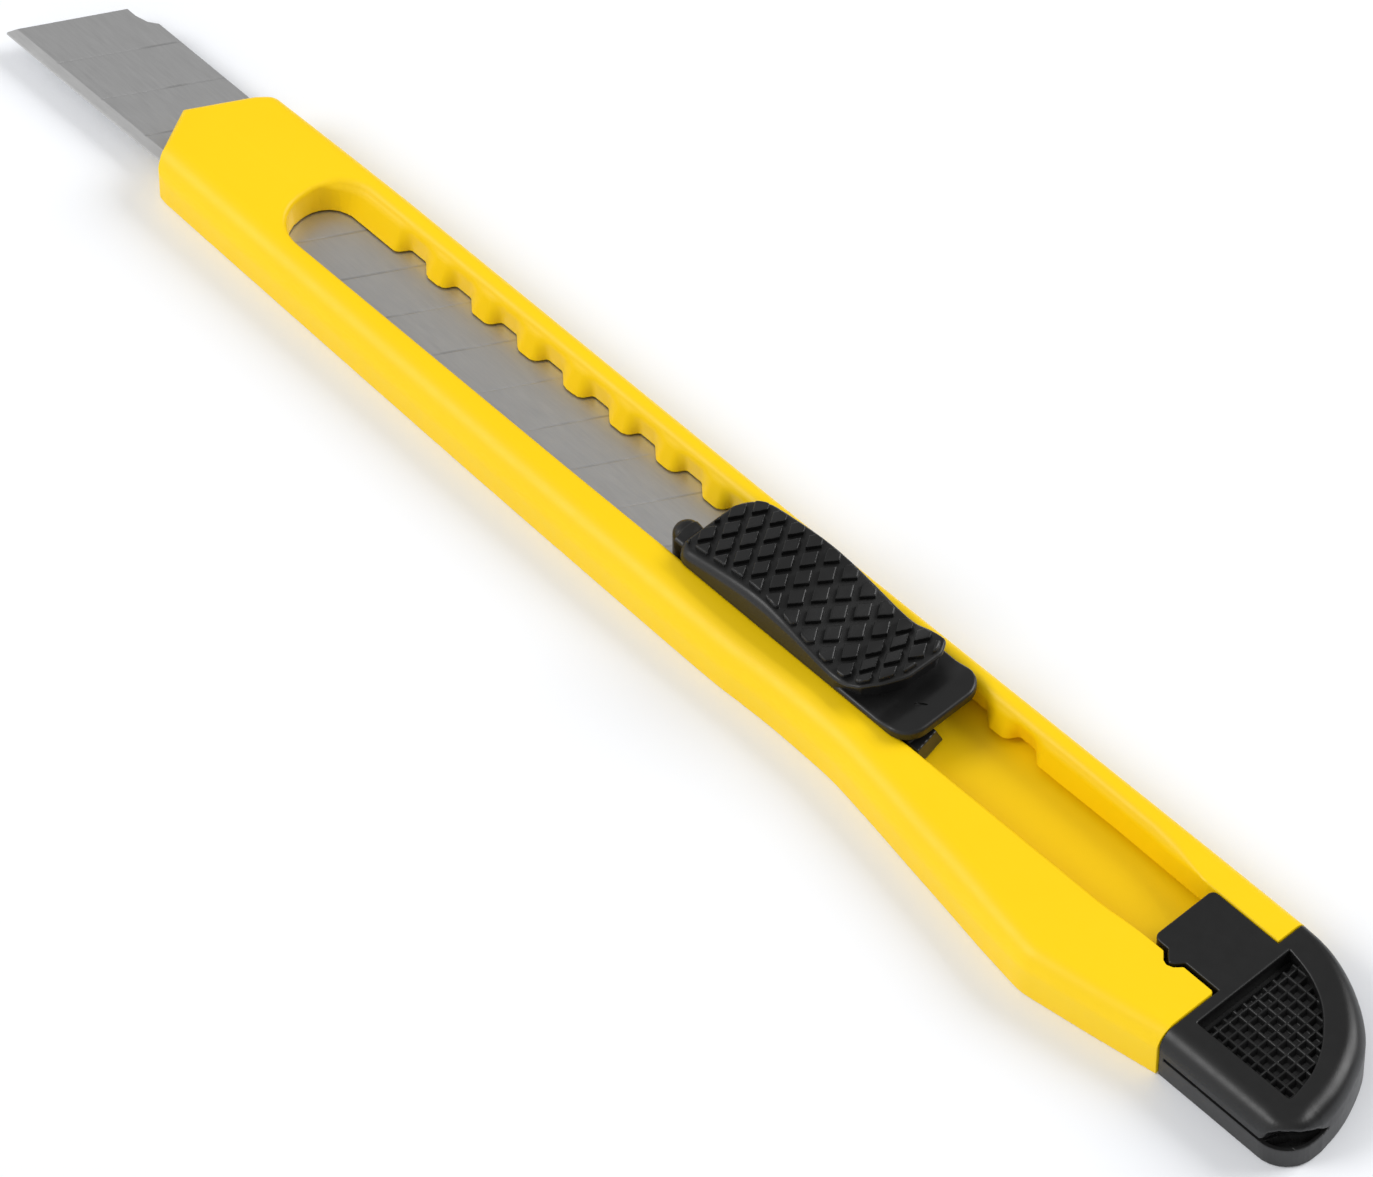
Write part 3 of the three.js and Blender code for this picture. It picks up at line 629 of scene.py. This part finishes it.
def steel(name, lo, hi, rough, stretch, bump, painted_score_shade=None):
    m, nt, bs = material(name)
    n = noise(nt, 500, 4, 0.6, stretch=stretch)
    c = ramp(nt, n.outputs[0], [(0.25, lo), (0.75, hi)])
    # painted shade: the score lines are darkened in the base colour
    if painted_score_shade:
        mix = nt.nodes.new("ShaderNodeMix")
        mix.data_type = "RGBA"
        nt.links.new(score_painted_shade(nt), mix.inputs["Factor"])
        nt.links.new(c.outputs[0], mix.inputs["A"])
        mix.inputs["B"].default_value = painted_score_shade
        nt.links.new(mix.outputs["Result"], bs.inputs["Base Color"])
    else:
        nt.links.new(c.outputs[0], bs.inputs["Base Color"])
    r = ramp(nt, n.outputs[0], [(0.2, grey(rough - 0.05)), (0.8, grey(rough + 0.05))])
    nt.links.new(r.outputs[0], bs.inputs["Roughness"])
    bs.inputs["Metallic"].default_value = 1.0
    b = nt.nodes.new("ShaderNodeBump")
    b.inputs["Strength"].default_value = bump
    b.inputs["Distance"].default_value = 0.000005
    nt.links.new(n.outputs[0], b.inputs["Height"])
    nt.links.new(b.outputs[0], bs.inputs["Normal"])
    return m


# the darker grey on the score lines is painted shade
blade_steel = steel("blade_steel_ground", grey(0.52), grey(0.56), 0.42, (1, 14, 14), 0.15, grey(0.42))
spring_steel = steel("spring_steel_rolled", grey(0.42), grey(0.5), 0.3, (14, 1, 1), 0.3)


def dress(ob, mat):
    ob.data.materials.clear()
    ob.data.materials.append(mat)


dress(handle, yellow)
dress(blade, blade_steel)
dress(cap, black_cap_painted_reflection)
dress(button, black)
dress(carrier, black)
dress(spring, spring_steel)


# ------------------------------------------------------------------ stage, lights, camera
def floor():
    me = bpy.data.meshes.new("floor")
    s = 3.0
    me.from_pydata([(-s, -s, 0), (s, -s, 0), (s, s, 0), (-s, s, 0)], [], [(0, 1, 2, 3)])
    ob = bpy.data.objects.new("floor", me)
    bpy.context.scene.collection.objects.link(ob)
    ob.location.z = -0.00002
    m, nt, bs = material("floor_white")
    bs.inputs["Base Color"].default_value = (0.86, 0.875, 0.905, 1)
    bs.inputs["Roughness"].default_value = 0.7
    bs.inputs["Specular IOR Level"].default_value = 0.2
    me.materials.append(m)
    return ob


floor()


def area(name, direction, dist, size, power, colour=(1, 1, 1), size_y=None):
    d = Vector(direction).normalized()
    l = bpy.data.lights.new(name, "AREA")
    l.shape = "RECTANGLE"
    l.size = size
    l.size_y = size_y or size
    l.energy = power
    l.color = colour
    o = bpy.data.objects.new(name, l)
    bpy.context.scene.collection.objects.link(o)
    o.location = d * dist
    o.rotation_euler = d.to_track_quat("Z", "Y").to_euler()
    return o


def box_light(name, direction, dist, size, share):
    """Soft box whose light on the floor equals share times that of a sky of radiance 1."""
    d = Vector(direction).normalized()
    power = share * math.pi ** 2 * dist * dist / d.z
    return area(name, direction, dist, size, power)


box_light("back_box", (0.35, 0.85, 0.65), 1.0, 0.6, 0.43)
box_light("left_box", (-0.45, -0.60, 0.66), 1.0, 0.42, 0.24)

world = bpy.data.worlds.new("studio")
bpy.context.scene.world = world
world.use_nodes = True
bg = world.node_tree.nodes["Background"]
bg.inputs[0].default_value = (1, 1, 1, 1)
wt = world.node_tree
tc = wt.nodes.new("ShaderNodeTexCoord")
dot = wt.nodes.new("ShaderNodeVectorMath")
dot.operation = "DOT_PRODUCT"
dot.inputs[1].default_value = (-0.25, -0.75, -0.1)
wt.links.new(tc.outputs["Generated"], dot.inputs[0])
mad = wt.nodes.new("ShaderNodeMath")
mad.operation = "MULTIPLY_ADD"
mad.inputs[1].default_value = 0.62
mad.inputs[2].default_value = 0.62
wt.links.new(dot.outputs["Value"], mad.inputs[0])
wt.links.new(mad.outputs[0], bg.inputs[1])

A, E, D = math.radians(46.645), math.radians(51.448), 0.747361
target = Vector(((75.074 + OX) / 1000, (-4.025 + OY) / 1000, OZ / 1000))
back = Vector((math.sin(A) * math.cos(E), -math.cos(A) * math.cos(E), math.sin(E)))
right = Vector((math.cos(A), math.sin(A), 0))
up = back.cross(right)
cam = bpy.data.cameras.new("camera")
cam.lens = 270
cam.sensor_width = 36
cam.sensor_fit = "HORIZONTAL"
cam.clip_start = 0.01
cam.clip_end = 20
co = bpy.data.objects.new("camera", cam)
bpy.context.scene.collection.objects.link(co)
co.matrix_world = Matrix.Translation(target + back * D) @ Matrix((right, up, back)).transposed().to_4x4()
bpy.context.scene.camera = co

bpy.context.scene.view_settings.view_transform = "Standard"
bpy.context.scene.view_settings.look = "None"

bpy.context.view_layer.update()
print("triangles", {o.name: len(o.data.polygons) for o in (handle, blade, cap, button, carrier, spring)})
